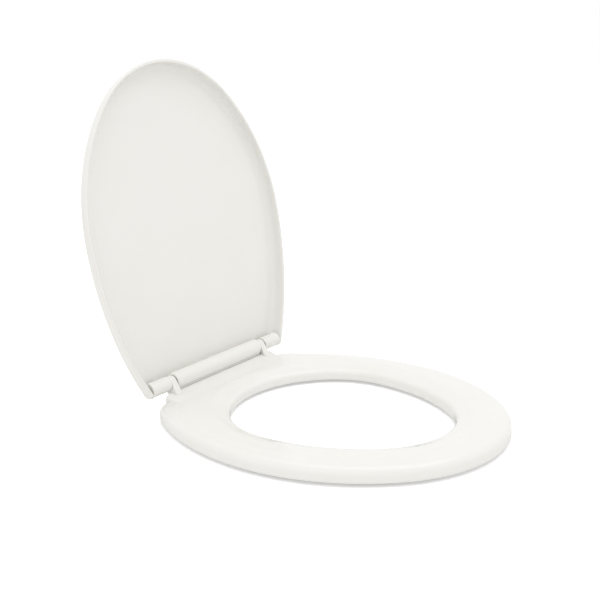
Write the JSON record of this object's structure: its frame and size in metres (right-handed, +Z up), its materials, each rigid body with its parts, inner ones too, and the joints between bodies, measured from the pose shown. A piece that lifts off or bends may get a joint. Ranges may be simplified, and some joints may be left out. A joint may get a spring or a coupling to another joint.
{
  "type": "toilet seat",
  "caption": "Oval toilet seat with a crowned ring and a dished lid standing open on a barrel hinge with slow-close dampers, fixed to the pan through slotted feet.",
  "frame": {"origin": "on the top of the pan, midway between the two bolt slots of the hinge base", "axes": "X along the hinge line, -Y towards the front of the seat, +Z up"},
  "size_m": [0.366, 0.4852, 0.427],
  "materials": {
    "ring_plastic": "polished warm white",
    "lid_plastic": "polished warm white",
    "hinge_plastic": "polished warm white",
    "damper_plastic": "fine matte light grey",
    "seal_rubber": "matte black",
    "buffer_rubber": "matte white",
    "gasket_rubber": "matte white"
  },
  "bodies": {
    "base": {"hinge_base": "hinge_plastic", "gasket_left": "gasket_rubber", "gasket_right": "gasket_rubber", "seat_damper_body": "damper_plastic", "seat_damper_cap": "damper_plastic", "seat_damper_seal": "seal_rubber", "lid_damper_body": "damper_plastic", "lid_damper_cap": "damper_plastic", "lid_damper_seal": "seal_rubber"},
    "seat": {"seat_ring": "ring_plastic", "seat_damper_rotor": "damper_plastic", "ear_bush": "damper_plastic", "buffer_front_left": "buffer_rubber", "buffer_front_right": "buffer_rubber", "buffer_rear_left": "buffer_rubber", "buffer_rear_right": "buffer_rubber"},
    "lid": {"lid": "lid_plastic", "lid_damper_rotor": "damper_plastic", "knuckle_bush": "damper_plastic"}
  },
  "joints": [
    {"name": "seat_hinge", "type": "hinge", "parent": "base", "child": "seat", "pos_m": [0, 0.022, 0.037], "axis": [-1, 0, 0], "range_deg": [0, 95]},
    {"name": "lid_hinge", "type": "hinge", "parent": "seat", "child": "lid", "pos_m": [0, 0.022, 0.037], "axis": [-1, 0, 0], "range_deg": [-101.7, 0]}
  ]
}
